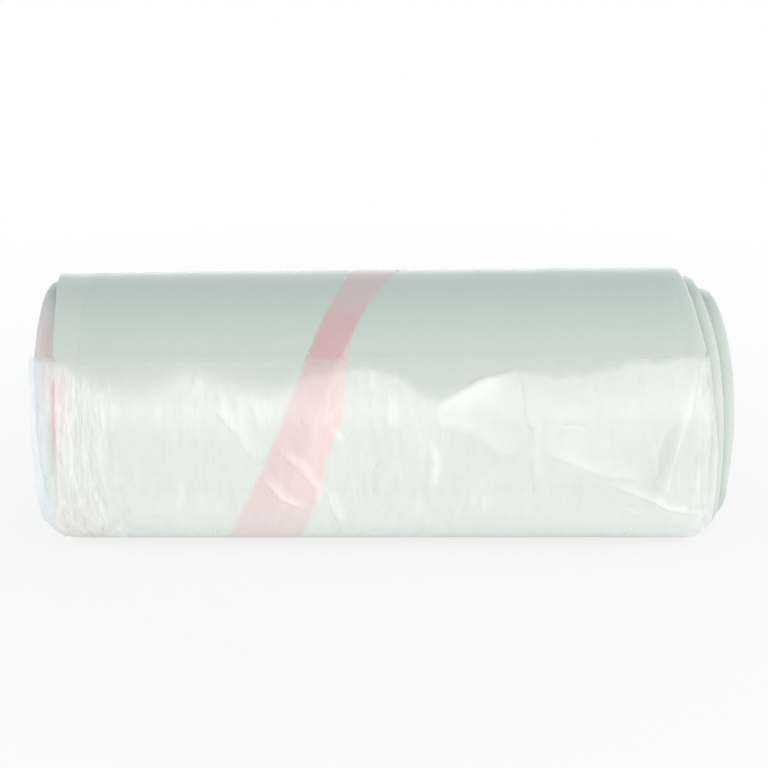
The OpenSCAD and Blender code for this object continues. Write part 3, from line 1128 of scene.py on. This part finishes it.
def floor():
    bpy.ops.mesh.primitive_plane_add(size=FLOOR_SIZE, location=(0.0, 0.0, 0.0))
    plane = bpy.context.object
    plane.name = "floor"
    ground = Finish("white_ground")
    rays = ground.tree.nodes.new("ShaderNodeLightPath")
    kinds = [Wire(ground, rays.outputs[f"Is {kind} Ray"]) for kind in ("Camera", "Glossy", "Transmission")]
    seen = ground.maths("MINIMUM", kinds[0] + kinds[1] + kinds[2], 1.0)
    place = ground.node("ShaderNodeTexCoord", output=3)
    distance = ground.node("ShaderNodeVectorMath", {"operation": "LENGTH"}, {0: place}, output=1)
    far = ground.ramp(distance, *FLOOR_FADE)
    glow = ground.node("ShaderNodeEmission", None, {"Color": WHITE, "Strength": 1.0})
    ground.set(Base_Color=colour(250, 250, 250), Roughness=0.9)
    share = seen * (far * (1.0 - FLOOR_CLEAR) + FLOOR_CLEAR)
    shader = Wire(ground, ground.shader.outputs[0])
    both = ground.node("ShaderNodeMixShader", None, {0: share, 1: shader, 2: glow})
    ground.tree.links.new(both.socket, ground.tree.nodes["Material Output"].inputs["Surface"])
    plane.data.materials.append(ground.material)


floor()

# %% Sky and lamps
SKY = (0.955, 0.985, 1.0, 1.0)
SKY_LEVEL = 0.62


def sky():
    world = bpy.data.worlds.new("studio")
    bpy.context.scene.world = world
    world.use_nodes = True
    tree = world.node_tree
    light = tree.nodes["Background"]
    light.inputs["Color"].default_value = SKY
    light.inputs["Strength"].default_value = SKY_LEVEL
    white = tree.nodes.new("ShaderNodeBackground")
    white.inputs["Color"].default_value = WHITE
    rays = tree.nodes.new("ShaderNodeLightPath")
    mix = tree.nodes.new("ShaderNodeMixShader")
    seen = tree.nodes.new("ShaderNodeMath")
    seen.operation = "MAXIMUM"
    tree.links.new(rays.outputs["Is Camera Ray"], seen.inputs[0])
    tree.links.new(rays.outputs["Is Glossy Ray"], seen.inputs[1])
    tree.links.new(seen.outputs[0], mix.inputs[0])
    tree.links.new(light.outputs[0], mix.inputs[1])
    tree.links.new(white.outputs[0], mix.inputs[2])
    tree.links.new(mix.outputs[0], tree.nodes["World Output"].inputs["Surface"])


def softbox(name, place, aim, size, watts):
    bpy.ops.object.light_add(type="AREA", location=place)
    lamp = bpy.context.object
    lamp.name = name
    lamp.data.shape = "RECTANGLE"
    lamp.data.size = size[0]
    lamp.data.size_y = size[1]
    lamp.data.energy = watts
    away = [a - b for a, b in zip(place, aim)]
    turn = math.atan2(away[0], -away[1])
    tilt = math.atan2(math.hypot(away[0], away[1]), away[2])
    lamp.rotation_euler = (tilt, 0.0, turn)


sky()
# Each lamp: where it stands, what it points at, its width and height in metres, and its watts
softbox("front_softbox", (0.25, -1.3, 0.22), (0.0, 0.0, 0.05), (1.3, 0.42), 1.2)
softbox("low_softbox", (0.0, -0.8, 0.07), (0.0, 0.0, 0.02), (1.4, 0.12), 2.3)
softbox("back_softbox", (0.2, 1.3, 0.14), (0.0, 0.0, 0.05), (1.2, 0.24), 3.0)
softbox("left_softbox", (-1.3, -0.2, 0.3), (-0.1, 0.0, 0.05), (0.7, 0.5), 2.0)
softbox("right_softbox", (1.3, -0.2, 0.3), (0.1, 0.0, 0.05), (0.7, 0.5), 6.0)

# %% Camera of the photograph
# Degrees and metres; the focal length and the place of the roll's middle are in pixels
ELEVATION = 18.0
DISTANCE = 0.707
FOCAL_PIXELS = 1908.0
FRAME_PIXELS = 768.0
AXIS_HEIGHT = 0.0469
CENTRE_PIXEL = (383.0, 401.0)


def camera():
    data = bpy.data.cameras.new("camera")
    eye = bpy.data.objects.new("camera", data)
    bpy.context.scene.collection.objects.link(eye)
    data.sensor_width = 36.0
    data.lens = FOCAL_PIXELS / FRAME_PIXELS * data.sensor_width
    tilt = math.radians(ELEVATION)
    pixel = DISTANCE / FOCAL_PIXELS
    right = (FRAME_PIXELS / 2 - CENTRE_PIXEL[0]) * pixel
    up = (CENTRE_PIXEL[1] - FRAME_PIXELS / 2) * pixel
    aim = (right, up * math.sin(tilt), AXIS_HEIGHT + up * math.cos(tilt))
    eye.location = (aim[0], aim[1] - DISTANCE * math.cos(tilt), aim[2] + DISTANCE * math.sin(tilt))
    eye.rotation_euler = (math.radians(90.0) - tilt, 0.0, 0.0)
    bpy.context.scene.camera = eye


camera()
bpy.context.scene.view_settings.view_transform = "Standard"
